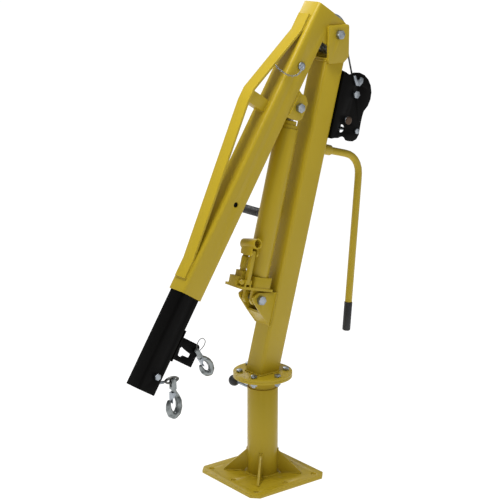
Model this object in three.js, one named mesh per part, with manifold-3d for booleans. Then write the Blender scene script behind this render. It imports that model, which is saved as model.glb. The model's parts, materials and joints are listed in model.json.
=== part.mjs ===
// Winch jib crane on a swivel pedestal: floor plate, turning mast, telescopic boom,
// long-ram jack, hand winch and two hooks. Millimetres, +Z up, +X is the boom side.
import * as THREE from 'three';
import { mergeVertices } from 'three/addons/utils/BufferGeometryUtils.js';
import Module from 'manifold-3d';

const wasm = await Module();
wasm.setup();

// ---- driving dimensions ------------------------------------------------------------
const GAP = 0.3; // left between pieces that touch
const PLATE = { side: 300, thick: 9.5, chamfer: 23, holePitch: 118, hole: 9 };
const PIPE = { outer: 49.5, inner: 44.5, top: 304 };
const SCREW = { height: 280, radius: 5.5, reach: 138, ball: 19 };
const SPIGOT = { outer: 44.2, inner: 38 };
const FLANGE = { radius: 95, thick: 8, seam: 346.2, boltCircle: 75, bolts: 6, shank: 6, flats: 19 };
const FOOT_Z = FLANGE.seam + GAP + FLANGE.thick; // where the mast stands
const MAST = { foot: 1.7, size: 80, wall: 5, corner: 11, lean: 14.8, cut: 1334, cap: 8 };
const PIVOT = { x: -261.3, z: 1412 }; // boom hinge
const EAR = { inner: 40.3, thick: 8 };
const BOLT = { shank: 9.5, hole: 10, flats: 26, head: 12.5, tip: 3 };
const BOOM = { size: 80, wall: 4, corner: 11, hang: 32.17, axis: 76.3, rear: -49, end: 934.6 };
const CHEEK = { radius: 47, thick: 7.5, face: 39.5 };
const INNER = { size: 71, wall: 4, corner: 9.5, rear: 118, end: 1250 };
const PIN = { radius: 8, hole: 8.6, rest: 152, out: 625 };
const STRAP = { half: 25, thick: 8, crest: 117, rear: -4, riseAt: 56, crestAt: 290, fallAt: 333,
  foot: 832, end: 894 };
const RAM_EYE = { along: 262.88, out: 12.21 }; // in the boom's frame
const JACK_FOOT = { along: 233.5, out: 101.4 }; // in the mast's frame
const JACK = { body: 35, bodyTop: 541, gland: 553, wiper: 566, ram: 15, bore: 27 };
const SHEAVE = { radius: 63.5, groove: 56, half: 11.5, hub: 17, hubHalf: 31.6 };
const TIP = { along: 1194, out: 67.3, radius: 36, groove: 30, half: 9 };
const ROPE = { radius: 3, lay: 0.4 };
const WINCH = { drumAlong: 922, drumOut: -108, crankAlong: 837, crankOut: -95, inside: 41, plate: 4,
  tieAlong: 809.5, tieOut: -143, pawlAlong: 958, pawlOut: -106 };
const COIL = { outer: 40, core: 19 };
const GEAR = { big: 62, bigTeeth: 40, small: 23.4, smallTeeth: 15 };
const CRANK_GRIP = { out: 71.7, along: 493.5 };
const HANDLE = { along: 733, radius: 12, reach: 163, bend: 72, turn: 79.7, drop: 428, grip: 98 };
const HOOK_PIN = 3.5;

// ---- materials -------------------------------------------------------------------
const YELLOW = [0xd9b62c, 0.35, 0.1];
const BLACK = [0x1b1a18, 0.5, 0.2];
const ZINC = [0x9aa0a8, 0.35, 0.9];
const STEEL = [0x8a8d90, 0.45, 0.9];
const PLASTIC = [0x111111, 0.55, 0.0];

const rad = (degrees) => degrees * Math.PI / 180;
const root = new THREE.Group();
root.name = 'crane';
const mastFrame = new THREE.Group(); // x = out of the mast's front face, z = up the mast
mastFrame.position.set(MAST.foot, 0, FOOT_Z);
mastFrame.rotation.y = -rad(MAST.lean);
const boomFrame = new THREE.Group(); // x = away from the mast side, z = towards the rear end
boomFrame.position.set(PIVOT.x, 0, PIVOT.z);
boomFrame.rotation.y = -rad(BOOM.hang);
const jackFrame = new THREE.Group(); // z = up the ram, x = forward
root.add(mastFrame, boomFrame, jackFrame);

// ---- small tools -------------------------------------------------------------------
function toSolid(geometry) {
  const bare = geometry.clone();
  bare.deleteAttribute('normal');
  bare.deleteAttribute('uv');
  const joined = mergeVertices(bare, 1e-4);
  const index = joined.index.array;
  const mesh = new wasm.Mesh({
    numProp: 3,
    vertProperties: new Float32Array(joined.attributes.position.array),
    triVerts: new Uint32Array(index),
  });
  return new wasm.Manifold(mesh);
}

function toGeometry(solid) {
  const mesh = solid.getMesh();
  const geometry = new THREE.BufferGeometry();
  geometry.setAttribute('position', new THREE.BufferAttribute(new Float32Array(mesh.vertProperties), 3));
  geometry.setIndex(Array.from(mesh.triVerts));
  geometry.computeVertexNormals();
  return geometry;
}

function addPiece(frame, name, solid, look) {
  const [color, roughness, metalness] = look;
  const material = new THREE.MeshStandardMaterial({ color, roughness, metalness });
  const piece = new THREE.Mesh(toGeometry(solid), material);
  piece.name = name;
  frame.add(piece);
  return piece;
}

function moved(geometry, x, y, z) {
  geometry.translate(x, y, z);
  return geometry;
}

function box(x0, x1, y0, y1, z0, z1) {
  const geometry = new THREE.BoxGeometry(x1 - x0, y1 - y0, z1 - z0);
  return toSolid(moved(geometry, (x0 + x1) / 2, (y0 + y1) / 2, (z0 + z1) / 2));
}

function outlineShape(points, holes) {
  const corners = points.map(([u, v]) => new THREE.Vector2(u, v));
  if (THREE.ShapeUtils.isClockWise(corners)) corners.reverse();
  const shape = new THREE.Shape(corners);
  for (const [u, v, radius] of holes) {
    const hole = new THREE.Path();
    hole.absarc(u, v, radius, 0, Math.PI * 2, true);
    shape.holes.push(hole);
  }
  return shape;
}

// A plate drawn in x-z and extruded along y, from y0 to y1.
function sidePlate(points, y0, y1, holes = []) {
  const shape = outlineShape(points, holes);
  const settings = { depth: y1 - y0, bevelEnabled: false, curveSegments: 12 };
  const geometry = new THREE.ExtrudeGeometry(shape, settings);
  geometry.rotateX(Math.PI / 2);
  return toSolid(moved(geometry, 0, y1, 0));
}

// A plate drawn in x-y and extruded up z.
function flatPlate(points, z0, z1, holes = []) {
  const shape = outlineShape(points, holes);
  const settings = { depth: z1 - z0, bevelEnabled: false, curveSegments: 12 };
  const geometry = new THREE.ExtrudeGeometry(shape, settings);
  return toSolid(moved(geometry, 0, 0, z0));
}

// A turned piece; the profile is [radius, height] pairs from the axis back to the axis.
function turned(profile, segments = 32) {
  const points = profile.map(([r, z]) => new THREE.Vector2(r, z));
  const geometry = new THREE.LatheGeometry(points, segments);
  geometry.rotateX(Math.PI / 2);
  const solid = toSolid(geometry);
  return solid.volume() < 0 ? toSolid(flipped(geometry)) : solid;
}

function flipped(geometry) {
  const copy = geometry.clone();
  const order = copy.index.array;
  for (let i = 0; i < order.length; i += 3) {
    const swap = order[i];
    order[i] = order[i + 2];
    order[i + 2] = swap;
  }
  return copy;
}

function rod(radius, z0, z1, segments = 24) {
  return turned([[0, z0], [radius, z0], [radius, z1], [0, z1]], segments);
}

function ring(outer, inner, z0, z1, segments = 32) {
  return turned([[inner, z0], [outer, z0], [outer, z1], [inner, z1], [inner, z0]], segments);
}

function placed(solid, x, y, z, turnX = 0, turnY = 0, turnZ = 0) {
  const geometry = toGeometry(solid);
  const turn = new THREE.Euler(rad(turnX), rad(turnY), rad(turnZ));
  geometry.applyMatrix4(new THREE.Matrix4().makeRotationFromEuler(turn));
  return toSolid(moved(geometry, x, y, z));
}

// Moves a solid from one group's frame into the world.
function inWorld(frame, solid) {
  frame.updateWorldMatrix(true, false);
  const geometry = toGeometry(solid);
  geometry.applyMatrix4(frame.matrixWorld);
  return toSolid(geometry);
}

function rodAlongY(radius, y0, y1, x, z, segments = 24) {
  return placed(rod(radius, -y1, -y0, segments), x, 0, z, 90);
}

function joined(...solids) {
  return solids.reduce((whole, next) => whole.add(next));
}

function hexagon(flats, z0, z1) {
  const corner = flats / Math.sqrt(3);
  const points = [];
  for (let i = 0; i < 6; i += 1) {
    points.push([corner * Math.cos(i * Math.PI / 3), corner * Math.sin(i * Math.PI / 3)]);
  }
  return flatPlate(points, z0, z1);
}

function roundedSquare(size, corner, steps = 5) {
  const points = [];
  const reach = size / 2 - corner;
  const centres = [[reach, reach], [-reach, reach], [-reach, -reach], [reach, -reach]];
  centres.forEach(([cx, cy], quarter) => {
    for (let i = 0; i <= steps; i += 1) {
      const angle = (quarter + i / steps) * Math.PI / 2;
      points.push([cx + corner * Math.cos(angle), cy + corner * Math.sin(angle)]);
    }
  });
  return points;
}

function squareBar(size, corner, z0, z1) {
  return flatPlate(roundedSquare(size, corner), z0, z1);
}

function squareTube(size, wall, corner, z0, z1) {
  const hollow = squareBar(size - 2 * wall, corner - wall, z0 - 1, z1 + 1);
  return squareBar(size, corner, z0, z1).subtract(hollow);
}

// A round bar following a path of [x, y, z] points.
function bentBar(points, radius, steps, sides = 12) {
  const path = new THREE.CatmullRomCurve3(points.map((p) => new THREE.Vector3(...p)), false, 'centripetal');
  const shape = new THREE.Shape();
  shape.absarc(0, 0, radius, 0, Math.PI * 2, false);
  const geometry = new THREE.ExtrudeGeometry(shape, {
    steps, extrudePath: path, bevelEnabled: false, curveSegments: sides / 2,
  });
  const solid = toSolid(geometry);
  return solid.volume() < 0 ? toSolid(flippedSoup(geometry)) : solid;
}

function flippedSoup(geometry) {
  const bare = geometry.clone();
  bare.deleteAttribute('normal');
  bare.deleteAttribute('uv');
  return flipped(mergeVertices(bare, 1e-4));
}

// Rounded outline through corner points, each with its own radius.
function softCorners(corners, steps = 4) {
  const points = [];
  const count = corners.length;
  corners.forEach(([x, z, radius], i) => {
    const before = corners[(i + count - 1) % count];
    const after = corners[(i + 1) % count];
    if (!radius) {
      points.push([x, z]);
      return;
    }
    const a = new THREE.Vector2(before[0] - x, before[1] - z).normalize();
    const b = new THREE.Vector2(after[0] - x, after[1] - z).normalize();
    const half = Math.acos(THREE.MathUtils.clamp(a.dot(b), -1, 1)) / 2;
    const back = radius / Math.tan(half);
    const middle = a.clone().add(b).normalize().multiplyScalar(radius / Math.sin(half));
    const from = a.clone().multiplyScalar(back).sub(middle);
    const to = b.clone().multiplyScalar(back).sub(middle);
    const start = from.angle();
    let sweep = to.angle() - start;
    if (sweep > Math.PI) sweep -= Math.PI * 2;
    if (sweep < -Math.PI) sweep += Math.PI * 2;
    for (let k = 0; k <= steps; k += 1) {
      const angle = start + sweep * k / steps;
      points.push([x + middle.x + radius * Math.cos(angle), z + middle.y + radius * Math.sin(angle)]);
    }
  });
  return points;
}

// Hexagon-head bolt with its nut, along y; face is where the head and the nut seat.
function crossBolt(x, z, face, shank, flats, thick = BOLT.head, tip = BOLT.tip) {
  const end = face + thick;
  const bar = rodAlongY(shank, -end - tip, face + 1, x, z);
  const head = placed(hexagon(flats, face, end), x, 0, z, -90);
  const nut = placed(hexagon(flats, face, end), x, 0, z, 90);
  return joined(bar, head, nut);
}

// ---- pedestal ----------------------------------------------------------------------
function buildBasePlate() {
  const half = PLATE.side / 2;
  const cut = half - PLATE.chamfer;
  const outline = [[half, -cut], [half, cut], [cut, half], [-cut, half], [-half, cut], [-half, -cut],
    [-cut, -half], [cut, -half]];
  const holes = [];
  for (const x of [-1, 0, 1]) {
    for (const y of [-1, 0, 1]) {
      if (x || y) holes.push([x * PLATE.holePitch, y * PLATE.holePitch, PLATE.hole]);
    }
  }
  addPiece(root, 'base_plate', flatPlate(outline, 0, PLATE.thick, holes), YELLOW);
}

// The screw stands out along -y, square to the pipe.
function towardsScrew(solid) {
  return placed(solid, 0, 0, SCREW.height, 90);
}

function buildPedestal() {
  const z0 = PLATE.thick + GAP;
  const boss = towardsScrew(hexagon(22, PIPE.outer - 2, PIPE.outer + 13));
  const bore = towardsScrew(rod(SCREW.radius + GAP, 30, 80, 16));
  const pipe = ring(PIPE.outer, PIPE.inner, z0, PIPE.top, 48);
  addPiece(root, 'pedestal_pipe', pipe.add(boss).subtract(bore), YELLOW);
  const r0 = PIPE.outer + 0.8;
  for (let i = 0; i < 4; i += 1) {
    const outline = [[r0, z0 + 12], [r0 + 10, z0], [127, z0], [127, z0 + 3], [r0 + 2.5, 84], [r0, 84]];
    const gusset = placed(sidePlate(outline, -4, 4), 0, 0, 0, 0, 0, 45 + 90 * i);
    addPiece(root, `gusset_${i + 1}`, gusset, YELLOW);
  }
  const screw = rod(SCREW.radius, SPIGOT.outer + 0.5, SCREW.reach, 16);
  addPiece(root, 'lock_screw', towardsScrew(screw), ZINC);
  const profile = [[0, -SCREW.ball]];
  for (let i = 1; i < 10; i += 1) {
    const angle = rad(-90 + 18 * i);
    profile.push([SCREW.ball * Math.cos(angle), SCREW.ball * Math.sin(angle)]);
  }
  profile.push([0, SCREW.ball]);
  const ball = placed(turned(profile, 24), 0, 0, SCREW.reach + SCREW.ball - 6);
  const socket = rod(SCREW.radius + GAP, SCREW.reach - 12, SCREW.reach + GAP, 16);
  addPiece(root, 'lock_ball', towardsScrew(ball.subtract(socket)), PLASTIC);
}

// ---- swivel ------------------------------------------------------------------------
function buildSwivel() {
  const bottom = FLANGE.seam - FLANGE.thick;
  const spots = [];
  for (let i = 0; i < FLANGE.bolts; i += 1) {
    const angle = rad(30 + 60 * i);
    spots.push([FLANGE.boltCircle * Math.cos(angle), FLANGE.boltCircle * Math.sin(angle)]);
  }
  const disc = (z0, z1) => {
    let plate = rod(FLANGE.radius, z0, z1, 64);
    for (const [x, y] of spots) {
      plate = plate.subtract(placed(rod(FLANGE.shank + 0.7, z0 - 1, z1 + 1, 12), x, y, 0));
    }
    return plate;
  };
  const z0 = PLATE.thick + GAP;
  addPiece(root, 'thrust_ring', ring(SPIGOT.outer, 30, z0, z0 + 12, 32), STEEL);
  const spigot = ring(SPIGOT.outer, SPIGOT.inner, z0 + 12 + GAP, bottom - GAP, 48);
  addPiece(root, 'swivel_spigot', spigot, YELLOW);
  addPiece(root, 'lower_flange', disc(bottom, FLANGE.seam), YELLOW);
  addPiece(root, 'upper_flange', disc(FLANGE.seam + GAP, FOOT_Z), YELLOW);
  spots.forEach(([x, y], i) => {
    const head = hexagon(FLANGE.flats, FOOT_Z + GAP, FOOT_Z + 8);
    const shank = rod(FLANGE.shank, bottom - 16, FOOT_Z + 1, 12);
    const nut = hexagon(FLANGE.flats, bottom - 10.5, bottom - GAP);
    addPiece(root, `flange_bolt_${i + 1}`, placed(joined(head, shank, nut), x, y, 0), ZINC);
  });
}

// ---- mast --------------------------------------------------------------------------
// Two ears either side of a cap that closes the mast; they carry the boom.
function buildMast() {
  const long = squareTube(MAST.size, MAST.wall, MAST.corner, -60, 1200);
  const keep = box(-500, 300, -100, 100, FOOT_Z + GAP, MAST.cut);
  addPiece(root, 'mast_tube', inWorld(mastFrame, long).intersect(keep), YELLOW);
  const outline = softCorners([[-303, 1442, 8], [-303, 1341, 4], [-282, 1324, 0], [-222, 1324, 3],
    [-219, 1334, 0], [-219, 1442, 8]]);
  const hole = [[PIVOT.x, PIVOT.z, BOLT.hole]];
  const e0 = EAR.inner;
  const e1 = EAR.inner + EAR.thick;
  const near = sidePlate(outline, e0, e1, hole);
  const far = sidePlate(outline, -e1, -e0, hole);
  const top = box(-301, -216, -e0 - 0.5, e0 + 0.5, MAST.cut + GAP, MAST.cut + MAST.cap);
  addPiece(root, 'mast_head', joined(near, far, top), YELLOW);
  addPiece(root, 'boom_pivot_bolt', crossBolt(PIVOT.x, PIVOT.z, e1 + GAP, BOLT.shank, BOLT.flats), ZINC);
}

// Folded bracket that carries the jack's foot: two cheeks joined by a sloping web.
function buildJackBracket() {
  const face = MAST.size / 2 + GAP;
  const { along, out } = JACK_FOOT;
  const cheek = softCorners([[face, 263, 0], [113, 255, 6], [133, 238, 5], [126, 225, 0], [85, 188, 0],
    [face, 152, 0]]);
  const hole = [[out, along, BOLT.hole]];
  const near = sidePlate(cheek, 31, 38, hole);
  const far = sidePlate(cheek, -38, -31, hole);
  const web = sidePlate([[85, 189], [face, 154], [face, 161], [85, 196]], -37, 37);
  addPiece(mastFrame, 'jack_bracket', joined(near, far, web), YELLOW);
  addPiece(mastFrame, 'jack_foot_bolt', crossBolt(out, along, 38 + GAP, BOLT.shank, BOLT.flats), ZINC);
}

// Storage socket on the back of the mast, and the bent jack handle parked in it.
function buildHandle() {
  const { along, radius, reach, bend, turn, drop, grip } = HANDLE;
  const back = -MAST.size / 2 - GAP;
  const tube = placed(ring(17, radius + 3, 0, 48, 24), back - 48, 0, along, 0, 90);
  addPiece(mastFrame, 'handle_socket', tube, YELLOW);
  const path = [[back - 1, 0, along], [-reach * 0.65, 0, along], [-reach, 0, along]];
  for (let i = 1; i <= 7; i += 1) {
    const angle = rad(turn * i / 7);
    path.push([-reach - bend * Math.sin(angle), 0, along - bend * (1 - Math.cos(angle))]);
  }
  const [x, , z] = path[path.length - 1];
  const dx = -Math.cos(rad(turn));
  const dz = -Math.sin(rad(turn));
  for (const part of [0.33, 0.67, 1]) path.push([x + dx * drop * part, 0, z + dz * drop * part]);
  path.push([x + dx * (drop + grip - 12), 0, z + dz * (drop + grip - 12)]);
  addPiece(mastFrame, 'jack_handle', bentBar(path, radius, 44, 16), YELLOW);
  const sleeve = turned([[radius + GAP, 0], [13.5, 0], [13.5, grip - 3], [11, grip], [0, grip], [0, grip - 10],
    [radius + GAP, grip - 10], [radius + GAP, 0]], 24);
  const leg = placed(sleeve, x + dx * drop, 0, z + dz * drop, 0, 180 + (90 - turn));
  addPiece(mastFrame, 'handle_grip', leg, PLASTIC);
}

// ---- boom --------------------------------------------------------------------------
function outerBoomBar(extra) {
  const bar = squareBar(BOOM.size + 2 * extra, BOOM.corner + extra, -BOOM.end - 5, -BOOM.rear + 5);
  return placed(bar, BOOM.axis, 0, 0);
}

// The square tube and the two rounded cheeks welded under its rear end.
function buildBoom() {
  let tube = placed(squareTube(BOOM.size, BOOM.wall, BOOM.corner, -BOOM.end, -BOOM.rear), BOOM.axis, 0, 0);
  const under = BOOM.axis - BOOM.size / 2;
  tube = tube.subtract(box(under - 2, under + BOOM.wall + 2, -30, 30, -60, 60));
  for (const along of [PIN.rest, PIN.out]) {
    tube = tube.subtract(rodAlongY(PIN.hole, -60, 60, BOOM.axis, -along));
  }
  const cheek = [[BOOM.axis - 20, CHEEK.radius]];
  for (let i = 0; i <= 12; i += 1) {
    const angle = rad(90 + 15 * i);
    cheek.push([CHEEK.radius * Math.cos(angle), CHEEK.radius * Math.sin(angle)]);
  }
  cheek.push([BOOM.axis - 20, -CHEEK.radius]);
  for (const y0 of [CHEEK.face - CHEEK.thick, -CHEEK.face]) {
    const plate = sidePlate(cheek, y0, y0 + CHEEK.thick, [[0, 0, BOLT.hole]]);
    const reach = box(-60, under + BOOM.corner + 2, -60, 60, -60, 60);
    const hollow = squareBar(BOOM.size - 2 * BOOM.wall, BOOM.corner - BOOM.wall, -70, 70);
    const inside = placed(hollow, BOOM.axis, 0, 0);
    tube = tube.add(plate.intersect(reach).subtract(inside));
  }
  addPiece(boomFrame, 'outer_boom', tube, YELLOW);
}

// Flat bar bowed over the boom like a truss, and the post that holds its crest up.
function buildTruss() {
  const face = BOOM.axis + BOOM.size / 2 + GAP;
  const t = STRAP.thick;
  const top = BOOM.axis + STRAP.crest;
  const outline = [[face, -STRAP.rear], [face, -STRAP.riseAt], [top - t, -STRAP.crestAt - 2],
    [top - t, -STRAP.fallAt + 2], [face, -STRAP.foot], [face, -STRAP.end], [face + t, -STRAP.end],
    [face + t, -STRAP.foot - 2], [top, -STRAP.fallAt], [top, -STRAP.crestAt], [face + t, -STRAP.riseAt + 2],
    [face + t, -STRAP.rear]];
  addPiece(boomFrame, 'truss_strap', sidePlate(outline, -STRAP.half, STRAP.half), YELLOW);
  const post = box(face, top - t - GAP, -20, 20, -331, -293);
  const hollow = box(face - 1, top, -16, 16, -327, -297);
  addPiece(boomFrame, 'strap_post', post.subtract(hollow), YELLOW);
}

// U-shaped bracket under the boom that takes the top of the jack.
function buildRamBracket() {
  const under = BOOM.axis - BOOM.size / 2;
  const outline = softCorners([[under + 12, -214, 0], [26, -221, 3], [5, -221, 6], [-12, -236, 6],
    [-17, -286, 6], [-7, -299, 6], [15, -305, 3], [under + 12, -310, 0]]);
  const hole = [[RAM_EYE.out, -RAM_EYE.along, BOLT.hole]];
  const near = sidePlate(outline, 31, 38.5, hole);
  const far = sidePlate(outline, -38.5, -31, hole);
  const web = box(under - 3, under - GAP, -37, 37, -300, -226);
  const whole = joined(near, far, web).subtract(outerBoomBar(GAP));
  addPiece(boomFrame, 'ram_bracket', whole, YELLOW);
  addPiece(boomFrame, 'ram_bolt', crossBolt(RAM_EYE.out, -RAM_EYE.along, 38.8, 9, BOLT.flats), ZINC);
}

// The rear notch lets the tube slide past the locking pin.
function buildInnerBoom() {
  const bar = squareTube(INNER.size, INNER.wall, INNER.corner, -INNER.end, -INNER.rear);
  let tube = placed(bar, BOOM.axis, 0, 0);
  const notch = box(BOOM.axis - 9, BOOM.axis + 9, -50, 50, -PIN.rest, -INNER.rear + 1);
  const round = rodAlongY(9, -50, 50, BOOM.axis, -PIN.rest);
  const under = BOOM.axis - INNER.size / 2;
  const window = box(under - 2, under + 6, -12, 12, -TIP.along - 40, -TIP.along + 36);
  const eye = rodAlongY(6.5, -50, 50, TIP.out, -TIP.along, 16);
  tube = tube.subtract(notch).subtract(round).subtract(window).subtract(eye);
  addPiece(boomFrame, 'inner_boom', tube, BLACK);
}

function buildBoomPin() {
  const face = BOOM.size / 2;
  const shank = rod(PIN.radius, -face - 8, face + 2, 20);
  const head = turned([[0, face + 0.5], [13, face + 0.5], [13, face + 5], [9, face + 8], [0, face + 8]], 24);
  const pin = placed(joined(shank, head), BOOM.axis, 0, -PIN.rest, -90);
  addPiece(boomFrame, 'boom_pin', pin, ZINC);
  const hang = [[BOOM.axis, face + 10.5, -PIN.rest], [BOOM.axis + 3, face + 11, -PIN.rest - 18],
    [BOOM.axis + 12, face + 10, -PIN.rest - 36], [BOOM.axis + 36, face + 6, -PIN.rest - 48],
    [BOOM.axis + 64, face - 2, -PIN.rest - 46], [BOOM.axis + 81, STRAP.half + 3, -PIN.rest - 39]];
  const chain = bentBar(hang, 1.8, 20, 6);
  addPiece(boomFrame, 'pin_chain', chain, STEEL);
}

// ---- rope gear ---------------------------------------------------------------------
function grooved(radius, groove, half, bore, hub, hubHalf, segments) {
  const web = half * 0.6;
  const lip = radius - groove;
  const profile = [[bore, -hubHalf], [hub, -hubHalf], [hub, -web], [groove - 6, -web], [groove - 2, -half],
    [radius, -half], [radius, -half + 2], [groove + lip * 0.2, -3.2], [groove, -1], [groove, 1],
    [groove + lip * 0.2, 3.2], [radius, half - 2], [radius, half], [groove - 2, half], [groove - 6, web],
    [hub, web], [hub, hubHalf], [bore, hubHalf], [bore, -hubHalf]];
  return turned(profile, segments);
}

function buildSheaves() {
  const head = grooved(SHEAVE.radius, SHEAVE.groove, SHEAVE.half, BOLT.hole, SHEAVE.hub, SHEAVE.hubHalf, 40);
  addPiece(root, 'head_sheave', placed(head, PIVOT.x, 0, PIVOT.z, 90), ZINC);
  const tip = grooved(TIP.radius, TIP.groove, TIP.half, 6.5, 11, 29, 32);
  addPiece(boomFrame, 'tip_sheave', placed(tip, TIP.out, 0, -TIP.along, 90), ZINC);
  const bolt = crossBolt(TIP.out, -TIP.along, INNER.size / 2 + GAP, 6, 19, 7.5, 0);
  addPiece(boomFrame, 'tip_bolt', bolt, ZINC);
}

// Plate with a keyhole under the inner boom, on a foot strip.
function buildHookBracket() {
  const under = BOOM.axis - INNER.size / 2 - GAP;
  const at = (s, n) => [n + BOOM.axis, -s - 48];
  const outline = softCorners([[under, -1052, 0], [at(1004, -137)[0], -1052, 12], [at(0, -140)[0], -1068, 4],
    [at(0, -140)[0], -1125, 2], [under, -1125, 0]]);
  let plate = sidePlate(outline, -3.5, 3.5, [[...at(1022, -129), HOOK_PIN + GAP]]);
  const keyhole = [at(1031, -74), at(1036, -89), at(1041, -119), at(1053, -118), at(1054, -94), at(1063, -87),
    at(1060, -73), at(1038, -69)];
  plate = plate.subtract(sidePlate(softCorners(keyhole.map(([x, z]) => [x, z, 2])), -5, 5));
  const foot = box(under - 5, under, -32, 32, -1134, -1032);
  addPiece(boomFrame, 'hook_bracket', plate.add(foot), BLACK);
}

function oval(cx, cz, halfWide, halfHigh, y0, y1, steps = 28) {
  const points = [];
  for (let i = 0; i < steps; i += 1) {
    const angle = i / steps * Math.PI * 2;
    points.push([cx + halfWide * Math.cos(angle), cz + halfHigh * Math.sin(angle)]);
  }
  return sidePlate(points, y0, y1);
}

// Forged hook hanging from a pin at the origin; mouth on +x. The bow is a chain of balls.
const HOOK_LENGTH = 122; // the size the numbers below are drawn for
const BOW = [[0, -26, 7], [-4, -41, 8], [-12, -55, 9], [-18, -71, 10], [-18.5, -90, 10.5], [-12, -106, 11],
  [0, -114, 11], [12, -107, 10.5], [18.5, -92, 9.5], [19.5, -77, 8], [17, -66, 6]];
const LATCH_PIVOT = -41;

function ball([x, z, radius]) {
  return toSolid(moved(new THREE.SphereGeometry(radius, 12, 8), x, 0, z));
}

function hookSolid(length) {
  const scale = length / HOOK_LENGTH;
  const balls = BOW.map((spot) => ball(spot.map((value) => value * scale)));
  let hook = balls[0];
  for (let i = 1; i < balls.length; i += 1) hook = hook.add(wasm.Manifold.hull([balls[i - 1], balls[i]]));
  const top = -56 * scale;
  const flats = box(-20, 20, 7, 20, top, 20).add(box(-20, 20, -20, -7, top, 20));
  hook = hook.subtract(flats);
  const fork = rodAlongY(7.8, -8.6, 8.6, 0, 0, 20).add(box(-7.8, 7.8, -8.6, 8.6, -30, 0));
  const slot = box(-12, 12, -4.6, 4.6, -22, 12);
  const bore = rodAlongY(HOOK_PIN + GAP, -12, 12, 0, 0, 12);
  const pivot = rodAlongY(2.3, -12, 12, 0, LATCH_PIVOT * scale, 10);
  return hook.add(fork).subtract(slot).subtract(bore).subtract(pivot);
}

// Sheet latch that closes the mouth from inside, with its pivot through the neck.
function latchSolid(length) {
  const scale = length / HOOK_LENGTH;
  const pivotAt = LATCH_PIVOT * scale;
  const sized = (points) => points.map(([x, z]) => [x * scale, z * scale]);
  const strip = sidePlate(sized([[6.2, -39.5], [8.6, -39.5], [9.6, -71], [7.2, -71]]), -8.8, 8.8);
  const pin = rodAlongY(2, -8.8, 8.8, 0, pivotAt, 10);
  const cheek = sized([[-4, -41], [0, -38.5], [8.6, -38.5], [9.2, -57], [6.5, -57], [-4, -46]]);
  const plates = joined(sidePlate(cheek, 7.3, 8.8), sidePlate(cheek, -8.8, -7.3));
  return joined(strip, plates, pin);
}

function hookPinSolid() {
  const head = rodAlongY(6, 8.9, 11.5, 0, 0, 16);
  const stub = rodAlongY(HOOK_PIN + 1.5, -11.5, -8.9, 0, 0, 12);
  return joined(rodAlongY(HOOK_PIN, -11, 11, 0, 0, 12), head, stub);
}

function buildHook(prefix, length, x, z, lean) {
  const look = ZINC;
  const hung = (solid) => placed(solid, x, 0, z, 0, lean);
  addPiece(root, prefix, hung(hookSolid(length)), look);
  addPiece(root, `${prefix}_latch`, hung(latchSolid(length)), look);
  addPiece(root, `${prefix}_pin`, hung(hookPinSolid()), look);
}

function boomToWorld(x, z) {
  boomFrame.updateWorldMatrix(true, false);
  const spot = new THREE.Vector3(x, 0, z).applyMatrix4(boomFrame.matrixWorld);
  return [spot.x, spot.z];
}

// Rope eye at the end: an oval ring lying almost level.
function buildThimble() {
  const ringSolid = oval(0, 0, 26, 11, -4, 4).subtract(oval(0, 0, 19.5, 5.4, -5, 5, 24));
  addPiece(root, 'rope_thimble', placed(ringSolid, 354, 0, 400, 0, 2), STEEL);
}

function arc(cx, cz, radius, from, to, steps) {
  const points = [];
  for (let i = 0; i <= steps; i += 1) {
    const angle = from + (to - from) * i / steps;
    points.push([cx + radius * Math.cos(angle), 0, cz + radius * Math.sin(angle)]);
  }
  return points;
}

function straightRun(from, to, radius) {
  const a = new THREE.Vector3(...from);
  const b = new THREE.Vector3(...to);
  const along = b.clone().sub(a);
  const up = new THREE.Vector3(0, 0, 1);
  const turn = new THREE.Quaternion().setFromUnitVectors(up, along.clone().normalize());
  const geometry = toGeometry(rod(radius, -0.6, along.length() + 0.6, 8));
  geometry.applyQuaternion(turn);
  return toSolid(moved(geometry, a.x, a.y, a.z));
}

// One rope, from the layers on the drum over both sheaves to the thimble.
function buildRope() {
  mastFrame.updateWorldMatrix(true, false);
  const drum = new THREE.Vector3(WINCH.drumOut, 0, WINCH.drumAlong).applyMatrix4(mastFrame.matrixWorld);
  const lay = SHEAVE.groove + ROPE.radius + ROPE.lay;
  const coil = COIL.outer - ROPE.radius;
  const away = Math.hypot(drum.x - PIVOT.x, drum.z - PIVOT.z);
  const facing = Math.atan2(drum.z - PIVOT.z, drum.x - PIVOT.x);
  const leave = facing - Math.acos((lay - coil) / away) + Math.PI * 2;
  const down = [drum.x + coil * Math.cos(leave), 0, drum.z + coil * Math.sin(leave)];
  const tipLay = TIP.groove + ROPE.radius + ROPE.lay;
  const slope = Math.atan2(TIP.out + tipLay - lay, TIP.along);
  const inward = rad(BOOM.hang) + slope;
  const over = arc(PIVOT.x, PIVOT.z, lay, leave, inward, 12);
  const [tx, tz] = boomToWorld(TIP.out, -TIP.along);
  const end = [381.4, 0, 399.4];
  const toEnd = Math.atan2(end[2] - tz, end[0] - tx);
  const reach = Math.hypot(end[0] - tx, end[2] - tz);
  const off = toEnd + Math.acos(tipLay / reach);
  const round = arc(tx, tz, tipLay, inward, off > 0 ? off - Math.PI * 2 : off, 10);
  const pieces = [
    straightRun(down, over[0], ROPE.radius),
    bentBar(over, ROPE.radius, 30, 8),
    straightRun(over[over.length - 1], round[0], ROPE.radius),
    bentBar(round, ROPE.radius, 24, 8),
    straightRun(round[round.length - 1], end, ROPE.radius),
    placed(ring(COIL.outer, COIL.core + GAP, -31, 31, 40), drum.x, 0, drum.z, 90),
  ];
  addPiece(root, 'winch_rope', joined(...pieces), STEEL);
}

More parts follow.
